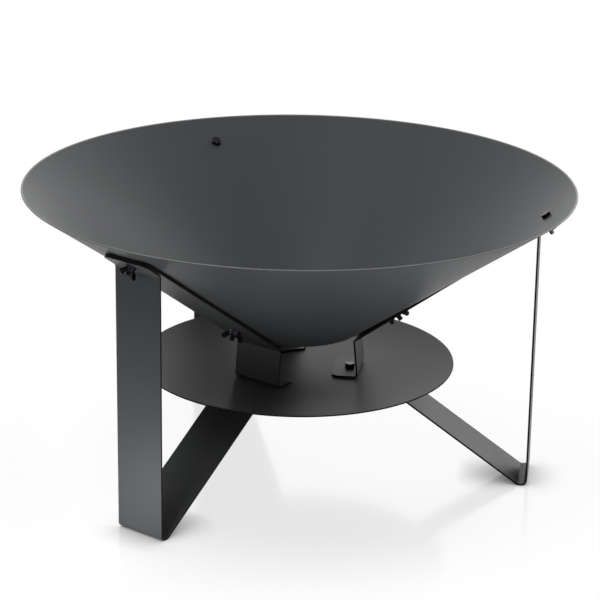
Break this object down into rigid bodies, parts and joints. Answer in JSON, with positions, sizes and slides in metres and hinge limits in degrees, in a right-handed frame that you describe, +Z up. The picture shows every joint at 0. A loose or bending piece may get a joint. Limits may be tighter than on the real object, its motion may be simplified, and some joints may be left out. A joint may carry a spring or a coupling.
{
  "type": "fire pit",
  "caption": "Shallow conical steel fire bowl held on folded strip legs and brackets, with a round plate below the bowl; bolted together with wing nuts.",
  "frame": {"origin": "point on the floor under the middle of the bowl", "axes": "+Z up along the bowl's axis; +Y towards the rear leg; +X to the right, so that the left and right legs stand at the front"},
  "size_m": [0.5998, 0.5998, 0.3237],
  "materials": {
    "powder_coated_steel": "satin charcoal powder coat",
    "black_zinc_plated_steel": "black zinc plate, half gloss"
  },
  "bodies": {
    "fire_pit": {"fire_bowl": "powder_coated_steel", "lower_plate": "powder_coated_steel", "rear_leg": "powder_coated_steel", "rear_bracket": "powder_coated_steel", "rear_rim_bolt": "black_zinc_plated_steel", "rear_wall_bolt": "black_zinc_plated_steel", "rear_plate_bolt": "black_zinc_plated_steel", "left_leg": "powder_coated_steel", "left_bracket": "powder_coated_steel", "left_rim_bolt": "black_zinc_plated_steel", "left_wall_bolt": "black_zinc_plated_steel", "left_plate_bolt": "black_zinc_plated_steel", "right_leg": "powder_coated_steel", "right_bracket": "powder_coated_steel", "right_rim_bolt": "black_zinc_plated_steel", "right_wall_bolt": "black_zinc_plated_steel", "right_plate_bolt": "black_zinc_plated_steel"},
    "rear_rim_wing_nut": {"rear_rim_wing_nut": "black_zinc_plated_steel"},
    "rear_wall_wing_nut": {"rear_wall_wing_nut": "black_zinc_plated_steel"},
    "rear_plate_wing_nut": {"rear_plate_wing_nut": "black_zinc_plated_steel"},
    "left_rim_wing_nut": {"left_rim_wing_nut": "black_zinc_plated_steel"},
    "left_wall_wing_nut": {"left_wall_wing_nut": "black_zinc_plated_steel"},
    "left_plate_wing_nut": {"left_plate_wing_nut": "black_zinc_plated_steel"},
    "right_rim_wing_nut": {"right_rim_wing_nut": "black_zinc_plated_steel"},
    "right_wall_wing_nut": {"right_wall_wing_nut": "black_zinc_plated_steel"},
    "right_plate_wing_nut": {"right_plate_wing_nut": "black_zinc_plated_steel"}
  },
  "joints": [
    {"name": "rear_rim_wing_nut_turn", "type": "hinge", "parent": "fire_pit", "child": "rear_rim_wing_nut", "pos_m": [0, 0.27134, 0.29633], "axis": [0, 0.5757, -0.8177], "continuous": true},
    {"name": "rear_wall_wing_nut_turn", "type": "hinge", "parent": "fire_pit", "child": "rear_wall_wing_nut", "pos_m": [0, 0.10777, 0.18397], "axis": [0, 0.5757, -0.8177], "continuous": true},
    {"name": "rear_plate_wing_nut_turn", "type": "hinge", "parent": "fire_pit", "child": "rear_plate_wing_nut", "pos_m": [0, 0.059, 0.1094], "axis": [0, 0, -1], "continuous": true},
    {"name": "left_rim_wing_nut_turn", "type": "hinge", "parent": "fire_pit", "child": "left_rim_wing_nut", "pos_m": [-0.23499, -0.13567, 0.29633], "axis": [-0.4986, -0.2879, -0.8177], "continuous": true},
    {"name": "left_wall_wing_nut_turn", "type": "hinge", "parent": "fire_pit", "child": "left_wall_wing_nut", "pos_m": [-0.09333, -0.05389, 0.18397], "axis": [-0.4986, -0.2879, -0.8177], "continuous": true},
    {"name": "left_plate_wing_nut_turn", "type": "hinge", "parent": "fire_pit", "child": "left_plate_wing_nut", "pos_m": [-0.0511, -0.0295, 0.1094], "axis": [0, 0, -1], "continuous": true},
    {"name": "right_rim_wing_nut_turn", "type": "hinge", "parent": "fire_pit", "child": "right_rim_wing_nut", "pos_m": [0.23499, -0.13567, 0.29633], "axis": [0.4986, -0.2879, -0.8177], "continuous": true},
    {"name": "right_wall_wing_nut_turn", "type": "hinge", "parent": "fire_pit", "child": "right_wall_wing_nut", "pos_m": [0.09333, -0.05389, 0.18397], "axis": [0.4986, -0.2879, -0.8177], "continuous": true},
    {"name": "right_plate_wing_nut_turn", "type": "hinge", "parent": "fire_pit", "child": "right_plate_wing_nut", "pos_m": [0.0511, -0.0295, 0.1094], "axis": [0, 0, -1], "continuous": true}
  ]
}
